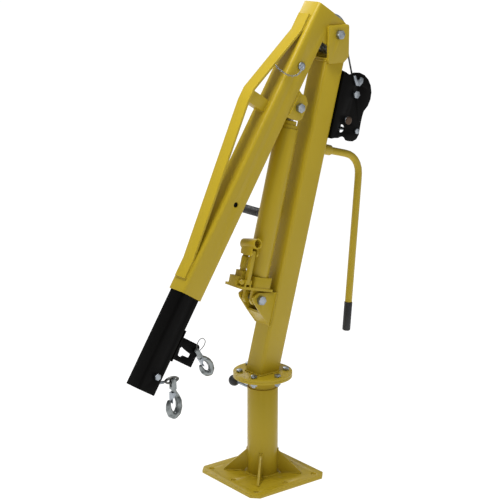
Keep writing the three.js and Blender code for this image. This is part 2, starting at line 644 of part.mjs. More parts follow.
// ---- winch -------------------------------------------------------------------------
function winchOutline() {
  const points = [[-40.3, 983], [-61, 980]];
  for (let i = 0; i <= 9; i += 1) {
    const angle = rad(52 + (222 - 52) * i / 9);
    points.push([-106 + 69 * Math.cos(angle), 923 + 69 * Math.sin(angle)]);
  }
  points.push([-155, 862], [-154.6, 841], [-156, 812], [-156.6, 800], [-150, 784], [-136, 775], [-118, 773],
    [-107, 774], [-100, 781], [-90, 784], [-80, 781], [-72, 776], [-58, 774], [-45, 770], [-40.3, 770]);
  return points.reverse();
}

function toothed(radius, teeth, depth, y0, y1, x, z) {
  const points = [];
  for (let i = 0; i < teeth; i += 1) {
    for (const [part, r] of [[0, radius - depth], [0.25, radius - depth], [0.4, radius], [0.62, radius]]) {
      const angle = (i + part) / teeth * Math.PI * 2;
      points.push([x + r * Math.cos(angle), z + r * Math.sin(angle)]);
    }
  }
  return sidePlate(points, y0, y1);
}

function buildWinch() {
  const { drumAlong, drumOut, crankAlong, crankOut, inside, plate } = WINCH;
  const { tieAlong, tieOut, pawlAlong, pawlOut } = WINCH;
  const holes = [[drumOut, drumAlong, 8.3], [crankOut, crankAlong, 9.3], [tieOut, tieAlong, 5.8]];
  const nearHoles = [...holes, [pawlOut, pawlAlong, 4], [-78, 808, 13]];
  const near = sidePlate(winchOutline(), inside, inside + plate, nearHoles);
  const far = sidePlate(winchOutline(), -inside - plate, -inside, holes)
    .subtract(box(-170, -151, -60, -30, 760, 850));
  const back = box(-45, -40.3, -inside - 1, inside + 1, 770, 983);
  addPiece(mastFrame, 'winch_frame', joined(near, far, back), BLACK);
  const tie = crossBolt(tieOut, tieAlong, inside + plate + GAP, 5.5, 16, 5, 1.5);
  addPiece(mastFrame, 'winch_tie_bolt', tie, ZINC);
  const core = rodAlongY(COIL.core, -36, 36, drumOut, drumAlong, 28);
  const flange = rodAlongY(50, 33, 36, drumOut, drumAlong, 40);
  const gear = toothed(GEAR.big, GEAR.bigTeeth, 4, -39, -33, drumOut, drumAlong);
  const bore = rodAlongY(8.3, -50, 50, drumOut, drumAlong, 16);
  addPiece(mastFrame, 'winch_drum', joined(core, flange, gear).subtract(bore), ZINC);
  const spindle = crossBolt(drumOut, drumAlong, inside + plate + GAP, 8, 22, 7, 2);
  addPiece(mastFrame, 'drum_spindle', spindle, ZINC);
  const shaft = rodAlongY(9, -75, inside + plate + 5, crankOut, crankAlong, 20);
  const pinion = toothed(GEAR.small, GEAR.smallTeeth, 3.5, -40.5, -31, crankOut, crankAlong);
  const nut = placed(hexagon(22, 75, 83), crankOut, 0, crankAlong, 90);
  const collar = rodAlongY(13, inside + plate + GAP, inside + plate + 6, crankOut, crankAlong, 20);
  addPiece(mastFrame, 'crank_shaft', joined(shaft, pinion, nut, collar), ZINC);
  const dx = CRANK_GRIP.out - crankOut;
  const dz = CRANK_GRIP.along - crankAlong;
  const length = Math.hypot(dx, dz);
  const corners = [[-14, -13, 10], [length + 13, -13, 11], [length + 13, 13, 11], [-14, 13, 10]];
  const bar = placed(flatPlate(softCorners(corners), -3, 3), 0, 0, 0, 90);
  const slant = -Math.atan2(dz, dx) * 180 / Math.PI;
  let arm = placed(bar, crankOut, -71.5, crankAlong, 0, slant);
  arm = arm.subtract(rodAlongY(9 + GAP, -80, -60, crankOut, crankAlong, 20));
  const stud = joined(rodAlongY(5, -180, -66, CRANK_GRIP.out, CRANK_GRIP.along, 16),
    rodAlongY(8, -68.2, -64, CRANK_GRIP.out, CRANK_GRIP.along, 16));
  addPiece(mastFrame, 'crank_arm', arm.add(stud), ZINC);
  const grip = turned([[5.4, 75.5], [13, 75.5], [14.5, 78], [14.5, 84], [12.5, 92], [14, 106], [14.2, 140],
    [14, 172], [15, 180], [13, 185], [0, 186], [0, 181], [5.4, 181], [5.4, 75.5]], 24);
  addPiece(mastFrame, 'crank_grip', placed(grip, CRANK_GRIP.out, 0, CRANK_GRIP.along, 90), PLASTIC);
  const lever = sidePlate(softCorners([[-97, 950, 3], [-86, 965, 2], [-79, 976, 3], [-86, 981, 2],
    [-97, 967, 2], [-106, 968, 2], [-109, 979, 3], [-122, 977, 4], [-123, 964, 4], [-113, 950, 4]]),
  inside + plate + 0.6, inside + plate + 5);
  const stub = rodAlongY(3.6, inside + 0.5, inside + plate + 2, pawlOut, pawlAlong, 12);
  addPiece(mastFrame, 'winch_pawl', lever.add(stub), ZINC);
}

// ---- jack --------------------------------------------------------------------------
function setJackFrame() {
  mastFrame.updateWorldMatrix(true, false);
  const foot = new THREE.Vector3(JACK_FOOT.out, 0, JACK_FOOT.along).applyMatrix4(mastFrame.matrixWorld);
  const [ex, ez] = boomToWorld(RAM_EYE.out, -RAM_EYE.along);
  jackFrame.position.copy(foot);
  jackFrame.rotation.y = Math.atan2(ex - foot.x, ez - foot.z);
  return Math.hypot(ex - foot.x, ez - foot.z);
}

function buildJack() {
  const length = setJackFrame();
  const lug = softCorners([[-22, 30, 0], [-22, -8, 8], [-8, -20, 8], [14, -20, 8], [24, -8, 8], [24, 30, 0]]);
  const lugs = joined(sidePlate(lug, 12, 25, [[0, 0, BOLT.hole]]), sidePlate(lug, -25, -12, [[0, 0, BOLT.hole]]));
  const foot = box(-41, 89, -40, 40, 28.5, 36.5);
  const block = placed(squareBar(74, 12, 36, 70.5), 0, 0, 0);
  const pump = box(35, 94, -19, 19, 36, 64).add(box(35, 75, -17, 17, 60, 82));
  const pumpBore = rod(10.4, 50, 90, 20);
  const lugAt = (x0) => box(x0, x0 + 5, 16, 40, 36, 58);
  const linkFoot = joined(lugAt(50), lugAt(69), rodAlongX(3.4, 50, 74, 32, 51), box(50, 74, 16, 24, 36, 50));
  const release = rodAlongY(5, 15, 31, 85, 50, 14).add(rodAlongY(8, 30, 38, 85, 50, 6));
  let base = joined(lugs, foot, block, pump, release, linkFoot).subtract(placed(pumpBore, 62, 0, 0));
  base = base.subtract(rod(JACK.bore, 60, 90, 32));
  addPiece(jackFrame, 'jack_base', base, YELLOW);
  const wall = turned([[JACK.bore, 70.8], [JACK.body, 70.8], [JACK.body, JACK.bodyTop], [30, JACK.bodyTop],
    [30, JACK.gland], [26, JACK.gland], [26, JACK.wiper - 2], [24, JACK.wiper], [JACK.ram + 0.4, JACK.wiper],
    [JACK.ram + 0.4, JACK.bodyTop - 20],
    [JACK.bore, JACK.bodyTop - 20], [JACK.bore, 70.8]], 40);
  addPiece(jackFrame, 'jack_cylinder', wall, YELLOW);
  const bar = rod(JACK.ram, 90, length - 6, 28);
  const eye = rodAlongY(15.4, -14.5, 14.5, 0, length, 28);
  let ram = bar.add(eye);
  for (const fall of [0.84, 0.57, 0.3]) {
    for (let i = 0; i <= 8; i += 1) {
      ram = ram.subtract(rodAlongY(9.7, -20, 20, i * 4, length - i * 4 * fall, 20));
    }
  }
  addPiece(jackFrame, 'jack_ram', ram, STEEL);
  const piston = rod(10, 60, 128, 20).add(rod(12, 91, 127, 20));
  const tongue = box(-8, 8, -5, 5, 126, 148).subtract(placed(rod(3.8, -20, 20, 12), 0, 0, 143, 0, 90));
  addPiece(jackFrame, 'pump_piston', placed(piston.add(tongue), 62, 0, 0), STEEL);
  buildPumpLever();
}

// Lever socket on the pump piston and the flat link that is its fulcrum.
function buildPumpLever() {
  const tube = ring(16.5, 12.6, -26, 42, 24).subtract(box(-40, 40, -40, 40, -60, -26));
  const laid = placed(tube, 62, 6, 168, -80);
  const yoke = [[-10, -9], [40, -9], [44, 0], [40, 9], [36, 22], [-6, 17], [-12, 4]];
  const cheek = (x0) => uprightPlate(yoke.map(([y, z]) => [y, z + 143]), x0, x0 + 5);
  const pins = joined(rodAlongX(3.4, 48, 76, 0, 143), rodAlongX(3.4, 48, 76, 32, 143));
  addPiece(jackFrame, 'pump_socket', joined(laid, cheek(48), cheek(71), pins), YELLOW);
  const link = uprightPlate([[25, 44], [39, 44], [39, 150], [25, 150]], 55.5, 68.5)
    .subtract(rodAlongX(5.6, 40, 90, 32, 143)).subtract(rodAlongX(3.8, 40, 90, 32, 51));
  addPiece(jackFrame, 'pump_link', link, YELLOW);
}

// A plate drawn in y-z and extruded along x.
function uprightPlate(points, x0, x1) {
  return placed(sidePlate(points.map(([y, z]) => [-y, z]), x0, x1), 0, 0, 0, 0, 0, -90);
}

function rodAlongX(radius, x0, x1, y, z) {
  return placed(rod(radius, x0, x1, 14), 0, y, z, 0, 90);
}

buildBasePlate();
buildPedestal();
buildSwivel();
buildMast();
buildJackBracket();
buildHandle();
buildBoom();
buildTruss();
buildRamBracket();
buildInnerBoom();
buildBoomPin();
buildSheaves();
buildHookBracket();
buildHook('load_hook', 125, 350, 400, 2);
buildHook('bracket_hook', 108, ...boomToWorld(-129 + 76.3, -1070), 33);
buildThimble();
buildWinch();
buildJack();
buildRope();

export default root;
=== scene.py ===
import json
import math

import bpy
from mathutils import Matrix, Vector, noise


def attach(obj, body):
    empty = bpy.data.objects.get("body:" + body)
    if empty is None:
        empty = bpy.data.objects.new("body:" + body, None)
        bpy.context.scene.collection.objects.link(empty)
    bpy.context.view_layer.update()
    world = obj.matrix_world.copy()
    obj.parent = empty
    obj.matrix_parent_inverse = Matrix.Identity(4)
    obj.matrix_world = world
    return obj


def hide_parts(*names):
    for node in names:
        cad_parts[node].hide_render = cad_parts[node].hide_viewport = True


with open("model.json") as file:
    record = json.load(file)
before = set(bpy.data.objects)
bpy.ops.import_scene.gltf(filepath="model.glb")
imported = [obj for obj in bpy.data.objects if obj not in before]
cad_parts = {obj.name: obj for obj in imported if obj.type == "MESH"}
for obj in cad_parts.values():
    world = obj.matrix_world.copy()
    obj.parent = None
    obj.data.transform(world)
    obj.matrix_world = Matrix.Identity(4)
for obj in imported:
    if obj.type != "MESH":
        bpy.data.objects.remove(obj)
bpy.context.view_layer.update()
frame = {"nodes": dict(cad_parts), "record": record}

MM = 0.001
NODES = frame["nodes"]


# ---- camera, floor and light ---------------------------------------------------------
def add_camera():
    data = bpy.data.cameras.new("view_camera")
    data.sensor_width = 36.0
    data.lens = 102.1
    data.clip_start = 0.1
    data.clip_end = 60.0
    camera = bpy.data.objects.new("view_camera", data)
    bpy.context.scene.collection.objects.link(camera)
    camera.location = (2.6718, 3.3775, 1.8543)
    yaw = math.radians(232.195)
    pitch = math.radians(-14.337)
    forward = Vector((math.cos(yaw) * math.cos(pitch), math.sin(yaw) * math.cos(pitch), math.sin(pitch)))
    camera.rotation_euler = forward.to_track_quat("-Z", "Y").to_euler()
    bpy.context.scene.camera = camera


def add_area_light(name, place, target, size, power, colour=(1.0, 1.0, 1.0)):
    data = bpy.data.lights.new(name, "AREA")
    data.shape = "RECTANGLE"
    data.size, data.size_y = size
    data.energy = power
    data.color = colour
    lamp = bpy.data.objects.new(name, data)
    lamp.location = place
    lamp.rotation_euler = (Vector(target) - Vector(place)).to_track_quat("-Z", "Y").to_euler()
    bpy.context.scene.collection.objects.link(lamp)


def add_studio():
    world = bpy.data.worlds.new("studio")
    bpy.context.scene.world = world
    world.use_nodes = True
    background = world.node_tree.nodes["Background"]
    background.inputs["Color"].default_value = (1.0, 1.0, 1.0, 1.0)
    background.inputs["Strength"].default_value = 0.3
    mesh = bpy.data.meshes.new("floor")
    reach = 40.0
    mesh.from_pydata([(-reach, -reach, -0.0015), (reach, -reach, -0.0015), (reach, reach, -0.0015),
                      (-reach, reach, -0.0015)], [], [(0, 1, 2, 3)])
    floor = bpy.data.objects.new("floor", mesh)
    bpy.context.scene.collection.objects.link(floor)
    mesh.materials.append(floor_finish())
    middle = (0.0, 0.0, 0.8)
    add_area_light("key_light", (1.0, 0.1, 2.6), (-0.1, 0.0, 1.1), (0.8, 0.8), 14)
    add_area_light("top_light", (0.6, 0.0, 4.4), middle, (1.6, 1.6), 85)
    add_area_light("side_light", (-1.6, 3.2, 2.2), middle, (1.2, 2.2), 4)
    add_area_light("rim_light", (-1.5, -3.0, 3.0), middle, (2.0, 1.2), 30)
    bpy.context.scene.view_settings.view_transform = "Standard"


# ---- materials -----------------------------------------------------------------------
class Finish:
    """A node material under construction: a Principled shader and short ways to add to it."""

    def __init__(self, name, colour, roughness, metallic=0.0):
        self.material = bpy.data.materials.new(name)
        self.material.use_nodes = True
        self.tree = self.material.node_tree
        self.shader = self.tree.nodes["Principled BSDF"]
        self.shader.inputs["Base Color"].default_value = (*colour, 1.0)
        self.shader.inputs["Roughness"].default_value = roughness
        self.shader.inputs["Metallic"].default_value = metallic
        self.place = self.tree.nodes.new("ShaderNodeTexCoord").outputs["Object"]

    def noise(self, scale, detail=3.0, stretch=None):
        source = self.place
        if stretch:
            mapping = self.tree.nodes.new("ShaderNodeMapping")
            mapping.inputs["Scale"].default_value = stretch
            self.tree.links.new(source, mapping.inputs["Vector"])
            source = mapping.outputs["Vector"]
        node = self.tree.nodes.new("ShaderNodeTexNoise")
        node.inputs["Scale"].default_value = scale
        node.inputs["Detail"].default_value = detail
        self.tree.links.new(source, node.inputs["Vector"])
        return node.outputs["Fac"]

    def cells(self, scale):
        node = self.tree.nodes.new("ShaderNodeTexVoronoi")
        node.inputs["Scale"].default_value = scale
        self.tree.links.new(self.place, node.inputs["Vector"])
        return node.outputs["Color"]

    def spread(self, value, low, high, out_low, out_high):
        node = self.tree.nodes.new("ShaderNodeMapRange")
        node.inputs["From Min"].default_value = low
        node.inputs["From Max"].default_value = high
        node.inputs["To Min"].default_value = out_low
        node.inputs["To Max"].default_value = out_high
        self.tree.links.new(value, node.inputs["Value"])
        return node.outputs["Result"]

    def colours(self, value, stops):
        ramp = self.tree.nodes.new("ShaderNodeValToRGB")
        elements = ramp.color_ramp.elements
        while len(elements) < len(stops):
            elements.new(0.5)
        for element, (position, colour) in zip(elements, stops):
            element.position = position
            element.color = (*colour, 1.0)
        self.tree.links.new(value, ramp.inputs["Fac"])
        return ramp.outputs["Color"]

    def set_colour(self, output):
        self.tree.links.new(output, self.shader.inputs["Base Color"])

    def set_roughness(self, output):
        self.tree.links.new(output, self.shader.inputs["Roughness"])

    def bump(self, *layers):
        normal = None
        for value, strength, depth in layers:
            node = self.tree.nodes.new("ShaderNodeBump")
            node.inputs["Strength"].default_value = strength
            node.inputs["Distance"].default_value = depth
            self.tree.links.new(value, node.inputs["Height"])
            if normal:
                self.tree.links.new(normal, node.inputs["Normal"])
            normal = node.outputs["Normal"]
        self.tree.links.new(normal, self.shader.inputs["Normal"])


def tinted(colour, factor):
    return tuple(min(1.0, part * factor) for part in colour)


def coat(name, colour, roughness, peel, contrast, sheen):
    """Powder coat: slow shade drift, orange peel and faint scuffs."""
    finish = Finish(name, colour, roughness)
    drift = finish.noise(7.0, 4.0)
    finish.set_colour(finish.colours(drift, [
        (0.30, tinted(colour, 1.0 - contrast)),
        (0.52, colour),
        (0.75, tinted(colour, 1.0 + contrast * 0.6)),
    ]))
    scuffs = finish.noise(60.0, 6.0, (1.0, 1.0, 0.35))
    finish.set_roughness(finish.spread(scuffs, 0.35, 0.75, roughness - 0.05, roughness + 0.12))
    finish.bump((finish.noise(420.0, 2.0), peel, 0.0004), (finish.noise(34.0, 2.0), 0.12, 0.0008))
    finish.shader.inputs["Specular IOR Level"].default_value = sheen
    return finish.material


def zinc_finish(name, light, dark, warm):
    """Zinc plate: spangled brightness, a trace of yellow passivation and fine scratches."""
    finish = Finish(name, light, 0.34, 0.95)
    patches = finish.noise(46.0, 5.0)
    finish.set_colour(finish.colours(patches, [(0.28, dark), (0.5, light), (0.66, tinted(light, 1.12)),
                                               (0.85, warm)]))
    scratches = finish.noise(240.0, 4.0, (1.0, 0.2, 1.0))
    finish.set_roughness(finish.spread(scratches, 0.3, 0.75, 0.24, 0.46))
    finish.bump((scratches, 0.12, 0.0002), (finish.noise(90.0, 3.0), 0.15, 0.0005))
    return finish.material


def bright_steel(name):
    """Drawn or ground steel with lengthwise grain and an oily darker drift."""
    colour = (0.52, 0.53, 0.54)
    finish = Finish(name, colour, 0.3, 1.0)
    drift = finish.noise(30.0, 4.0)
    finish.set_colour(finish.colours(drift, [
        (0.3, (0.30, 0.31, 0.32)), (0.55, colour), (0.8, (0.66, 0.67, 0.68))]))
    grain = finish.noise(600.0, 3.0, (1.0, 1.0, 0.08))
    finish.set_roughness(finish.spread(grain, 0.3, 0.7, 0.2, 0.42))
    finish.bump((grain, 0.15, 0.0002))
    return finish.material


def moulded_plastic(name):
    """Black grip plastic with a fine leather-like texture and dusty high spots."""
    colour = (0.013, 0.013, 0.014)
    finish = Finish(name, colour, 0.5)
    drift = finish.noise(80.0, 5.0)
    finish.set_colour(finish.colours(drift, [
        (0.3, (0.008, 0.008, 0.009)), (0.6, colour), (0.85, (0.035, 0.035, 0.036))]))
    finish.set_roughness(finish.spread(drift, 0.3, 0.7, 0.4, 0.62))
    finish.bump((finish.cells(900.0), 0.25, 0.0003))
    return finish.material


def floor_finish():
    finish = Finish("floor_paper", (0.2, 0.2, 0.2), 0.9)
    drift = finish.noise(1.5, 2.0)
    finish.set_colour(finish.colours(drift, [(0.3, (0.19, 0.19, 0.19)), (0.7, (0.21, 0.21, 0.21))]))
    finish.bump((finish.noise(350.0, 2.0), 0.04, 0.0004))
    finish.shader.inputs["Emission Color"].default_value = (1.0, 1.0, 1.0, 1.0)
    finish.shader.inputs["Emission Strength"].default_value = 0.97
    return finish.material


YELLOW = coat("yellow_powder_coat", (0.455, 0.327, 0.0155), 0.36, 0.08, 0.03, 0.25)
BLACK = coat("black_powder_coat", (0.0025, 0.0023, 0.0021), 0.42, 0.10, 0.25, 0.05)
ZINC = zinc_finish("zinc_plate", (0.33, 0.36, 0.39), (0.17, 0.19, 0.21), (0.40, 0.38, 0.29))
FORGED = zinc_finish("forged_zinc", (0.25, 0.27, 0.27), (0.09, 0.10, 0.10), (0.30, 0.28, 0.19))
ROPE = zinc_finish("oiled_rope", (0.13, 0.13, 0.12), (0.05, 0.05, 0.045), (0.20, 0.19, 0.16))
BRONZE = zinc_finish("bronze_bush", (0.075, 0.05, 0.035), (0.035, 0.025, 0.018), (0.10, 0.065, 0.04))
STEEL = bright_steel("bright_steel")
GRIP = moulded_plastic("moulded_grip")
SLOT_FINISH = {"yellow_coat": YELLOW, "black_coat": BLACK, "black_grip": GRIP, "zinc_plate": ZINC,
               "bare_steel": STEEL}


# ---- carried-over nodes ----------------------------------------------------------------
SOFT_EDGE = {"load_hook": 1.0, "bracket_hook": 1.0, "load_hook_latch": 0.5, "bracket_hook_latch": 0.5,
             "rope_thimble": 2.2, "truss_strap": 1.6, "crank_arm": 1.0, "winch_frame": 0.6,
             "winch_drum": 0.4, "lock_ball": 0.2, "jack_handle": 0.4, "flange_bolt": 0.6,
             "base_plate": 1.0, "mast_head": 1.2, "pin_chain": 0.3, "head_sheave": 0.5, "tip_sheave": 0.5}
FORGED_NODES = ("load_hook", "bracket_hook", "rope_thimble", "load_hook_pin", "bracket_hook_pin")


def dress_nodes():
    """Rounds the sharp edges of the CAD nodes and gives them their finishes."""
    slots = {part["node"]: part["material_slot"] for part in frame["record"]["subparts"]}
    for name, node in NODES.items():
        material = SLOT_FINISH[slots[name]]
        if name in FORGED_NODES:
            material = FORGED
        if name == "rope_thimble":
            material = ROPE
        node.data.materials.clear()
        node.data.materials.append(material)
        for polygon in node.data.polygons:
            polygon.use_smooth = True
            polygon.material_index = 0
        weld = node.modifiers.new("weld", "WELD")
        weld.merge_threshold = 0.02 * MM
        flatten = node.modifiers.new("flatten", "DECIMATE")
        flatten.decimate_type = "DISSOLVE"
        flatten.angle_limit = math.radians(0.4)
        width = SOFT_EDGE.get(name.rstrip("_123456"), SOFT_EDGE.get(name, 0.8))
        bevel = node.modifiers.new("edges", "BEVEL")
        bevel.width = width * MM
        bevel.segments = 3 if width > 1.5 else 2
        bevel.limit_method = "ANGLE"
        bevel.angle_limit = math.radians(32)
        bevel.harden_normals = True


# ---- mesh tools ------------------------------------------------------------------------
def add_mesh(name, mesh, material, body, replaced=()):
    mesh.materials.append(material)
    for polygon in mesh.polygons:
        polygon.use_smooth = True
    piece = bpy.data.objects.new(name, mesh)
    bpy.context.scene.collection.objects.link(piece)
    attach(piece, body)
    if replaced:
        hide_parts(*replaced)
    return piece


def tube_mesh(name, vertices, rows, sides, closed=False):
    """Joins rows of vertices into a tube, closed on itself or capped at both ends."""
    faces = []
    for i in range(rows if closed else rows - 1):
        j = (i + 1) % rows
        for k in range(sides):
            m = (k + 1) % sides
            faces.append((i * sides + k, i * sides + m, j * sides + m, j * sides + k))
    if not closed:
        faces.append(tuple(range(sides - 1, -1, -1)))
        faces.append(tuple((rows - 1) * sides + k for k in range(sides)))
    mesh = bpy.data.meshes.new(name)
    mesh.from_pydata(vertices, [], faces)
    return mesh


def bead_mesh(name, points, radius, closed, lumps=0.25, sides=8):
    """A tube along points whose thickness ripples like a weld bead."""
    count = len(points)
    vertices = []
    for i, point in enumerate(points):
        ahead = points[(i + 1) % count] if closed or i + 1 < count else point
        behind = points[i - 1] if closed or i else point
        along = (Vector(ahead) - Vector(behind)).normalized()
        side = along.cross(Vector((0.31, 0.52, 0.79))).normalized()
        up = side.cross(along)
        ripple = 1.0 + lumps * (0.6 * math.sin(i * 1.9) + 0.4 * noise.noise(Vector(point) * 190.0))
        for k in range(sides):
            angle = 2.0 * math.pi * k / sides
            reach = (side * math.cos(angle) + up * math.sin(angle)) * radius * ripple
            vertices.append(Vector(point) + reach)
    return tube_mesh(name, vertices, count, sides, closed)


def between(a, b, step):
    a, b = Vector(a), Vector(b)
    count = max(2, int((b - a).length / step))
    return [a.lerp(b, i / count) for i in range(count + 1)]


def circle(centre, radius, step, normal=Vector((0, 0, 1))):
    turn = Vector((0, 0, 1)).rotation_difference(normal)
    count = int(2.0 * math.pi * radius / step)
    return [Vector(centre) + turn @ Vector((radius * math.cos(2 * math.pi * i / count),
                                            radius * math.sin(2 * math.pi * i / count), 0))
            for i in range(count)]


def lathe_mesh(name, profile, segments=48):
    """Turns (radius, height) pairs about +Z."""
    vertices = []
    for radius, height in profile:
        for k in range(segments):
            angle = 2.0 * math.pi * k / segments
            vertices.append((radius * math.cos(angle), radius * math.sin(angle), height))
    return tube_mesh(name, vertices, len(profile), segments)


def smooth_curve(knots, steps):
    """Points along a Catmull-Rom curve through the knots."""
    last = len(knots) - 1
    points = []
    for i in range(steps + 1):
        t = i / steps * last
        k = min(int(t), last - 1)
        u = t - k
        p0, p1 = knots[max(k - 1, 0)], knots[k]
        p2, p3 = knots[k + 1], knots[min(k + 2, last)]
        points.append(0.5 * (2 * p1 + (p2 - p0) * u + (2 * p0 - 5 * p1 + 4 * p2 - p3) * u * u
                             + (3 * p1 - p0 - 3 * p2 + p3) * u * u * u))
    return points


def tilted_frame(origin, degrees_back):
    """Matrix of a frame turned about Y, as the mast and the boom are."""
    return Matrix.Translation(origin) @ Matrix.Rotation(-math.radians(degrees_back), 4, "Y")


MAST_LEAN = 14.8
MAST_FOOT = Vector((0.0017, 0.0, 0.3545))
MAST = tilted_frame(MAST_FOOT, MAST_LEAN)
BOOM_HANG = 32.17
PIVOT = Vector((-0.2613, 0.0, 1.412))
BOOM = tilted_frame(PIVOT, BOOM_HANG)


def boom_point(x, y, along):
    return BOOM @ Vector((x * MM, y * MM, -along * MM))


def mast_point(x, y, along):
    return MAST @ Vector((x * MM, y * MM, along * MM))


# ---- welds -------------------------------------------------------------------------------
BEAD_STEP = 1.6 * MM
PLATE_TOP = 10.5 * MM
MAST_CAP_Z = 1.3335


def add_weld(name, points, thickness, body, closed=False):
    mesh = bead_mesh(name, points, thickness * MM, closed)
    add_mesh(name, mesh, YELLOW, body)


def mast_outline():
    """Four straight runs round the square mast, short of its round corners."""
    half = 0.0402
    straight = 0.86
    corners = [(-half, -half), (half, -half), (half, half), (-half, half)]
    outline = []
    for i in range(4):
        a, b = corners[i], corners[(i + 1) % 4]
        along_x = a[1] == b[1]
        ends = [Vector((x * straight, y, 0)) if along_x else Vector((x, y * straight, 0)) for x, y in (a, b)]
        outline += between(ends[0], ends[1], BEAD_STEP)
    return outline


def add_gusset_welds(number):
    angle = math.radians(45 + 90 * number)
    out = Vector((math.cos(angle), math.sin(angle), 0))
    side = Vector((-out.y, out.x, 0)) * 0.0046
    low = Vector((0, 0, PLATE_TOP))
    for k, way in enumerate((side, -side)):
        along = between(out * 0.064 + way + low, out * 0.126 + way + low, BEAD_STEP)
        pipe = out * 0.0505 + way
        up = between(pipe + Vector((0, 0, 0.024)), pipe + Vector((0, 0, 0.092)), BEAD_STEP)
        for part, points in (("foot", along), ("pipe", up)):
            add_weld(f"weld_gusset_{number + 1}_{part}_{k + 1}", points, 1.9, "pedestal")


def add_welds():
    add_weld("weld_pipe_foot", circle((0, 0, PLATE_TOP), 0.0506, BEAD_STEP), 3.0, "pedestal", True)
    add_weld("weld_spigot", circle((0, 0, 0.3368), 0.0452, BEAD_STEP), 2.6, "mast", True)
    lean = math.radians(MAST_LEAN)
    outline = [Vector((p.x / math.cos(lean), p.y, 0)) for p in mast_outline()]
    foot = Vector((MAST_FOOT.x, 0, MAST_FOOT.z + 0.002))
    top = Vector((MAST_FOOT.x - (MAST_CAP_Z - MAST_FOOT.z) * math.tan(lean), 0, MAST_CAP_Z + 0.0003))
    add_weld("weld_mast_foot", [p + foot for p in outline], 2.6, "mast", True)
    add_weld("weld_mast_top", [p + top for p in outline], 2.0, "mast", True)
    for number in range(4):
        add_gusset_welds(number)


def add_boom_welds():
    runs = {
        "strap_rear_near": ((116.6, 25.6, -3), (116.6, 25.6, 55)),
        "strap_rear_far": ((116.6, -25.6, -3), (116.6, -25.6, 55)),
        "strap_front_near": ((116.6, 25.6, 834), (116.6, 25.6, 893)),
        "strap_front_far": ((116.6, -25.6, 834), (116.6, -25.6, 893)),
        "strap_end": ((116.8, -24, 894.6), (116.8, 24, 894.6)),
        "post_foot_near": ((116.8, 20.6, 294), (116.8, 20.6, 330)),
        "post_foot_far": ((116.8, -20.6, 294), (116.8, -20.6, 330)),
        "post_foot_front": ((116.8, -19, 331.6), (116.8, 19, 331.6)),
        "ram_ear_near": ((36.0, 39.2, 222), (36.0, 39.2, 300)),
        "ram_ear_far": ((36.0, -39.2, 222), (36.0, -39.2, 300)),
    }
    for name, (start, end) in runs.items():
        points = between(boom_point(*start), boom_point(*end), BEAD_STEP)
        add_weld(f"weld_{name}", points, 1.9, "boom")
    bracket = {
        "bracket_near": ((39.8, 32.4, 1033), (39.8, 32.4, 1133)),
        "keyhole_near": ((35.0, 4.6, 1053), (35.0, 4.6, 1124)),
    }
    for name, (start, end) in bracket.items():
        points = between(boom_point(*start), boom_point(*end), BEAD_STEP)
        mesh = bead_mesh(f"weld_{name}", points, 1.6 * MM, False)
        add_mesh(f"weld_{name}", mesh, BLACK, "boom_extension")
    for side, y in (("near", 38.6), ("far", -38.6)):
        points = between(mast_point(40.9, y, 154), mast_point(40.9, y, 262), BEAD_STEP)
        add_weld(f"weld_jack_bracket_{side}", points, 1.9, "mast")


# ---- rope --------------------------------------------------------------------------------
def stranded(name, points, radius, lay=0.021, lobes=6, sides=18):
    """A wire rope: a tube along points whose lobed section turns as it goes."""
    rings = []
    travelled = 0.0
    for i, point in enumerate(points):
        ahead = points[min(i + 1, len(points) - 1)]
        behind = points[max(i - 1, 0)]
        if i:
            travelled += (point - points[i - 1]).length
        along = (ahead - behind).normalized()
        side = along.cross(Vector((0.02, 1.0, 0.03))).normalized()
        up = side.cross(along)
        twist = 2.0 * math.pi * travelled / lay / lobes
        for k in range(sides):
            angle = 2.0 * math.pi * k / sides
            reach = radius * (0.92 + 0.08 * math.cos(lobes * (angle - twist)))
            rings.append(point + (side * math.cos(angle) + up * math.sin(angle)) * reach)
    return tube_mesh(name, rings, len(points), sides)


def arc(centre, radius, start, end, step):
    count = max(2, int(abs(end - start) * radius / step))
    return [Vector((centre[0] + radius * math.cos(start + (end - start) * i / count), 0.0,
                    centre[2] + radius * math.sin(start + (end - start) * i / count)))
            for i in range(count + 1)]


ROPE_RADIUS = 3.0 * MM
ROPE_STEP = 2.4 * MM
HEAD_LAY = 59.4
TIP_LAY = 33.4
TIP_SHEAVE = (67.3, 0, 1194)
DRUM_CENTRE = (-108, 0, 922)
DRUM_LAYERS = ((22.6, 10, -1), (28.2, 9, 1), (33.8, 10, -1), (37.0, 4.5, 1))
TURN_STEPS = 40
ROPE_END = Vector((0.3814, 0, 0.3994))


def drum_turns(drum, leave):
    """Turns laid side by side: three full layers and half of a fourth."""
    turns = []
    for reach, count, way in DRUM_LAYERS:
        for i in range(int(count * TURN_STEPS)):
            share = i / (count * TURN_STEPS)
            across = (-27.5 + 55.0 * share) * way if count > 5 else -27.0 + share * 27.0
            angle = leave + 2.0 * math.pi * i / TURN_STEPS
            spot = Vector((reach * MM * math.cos(angle), across * MM, reach * MM * math.sin(angle)))
            turns.append(drum + spot)
    return turns


def add_rope_run(name, points, body):
    mesh = stranded(name, points, ROPE_RADIUS)
    add_mesh(name, mesh, ROPE, body, ("winch_rope",))


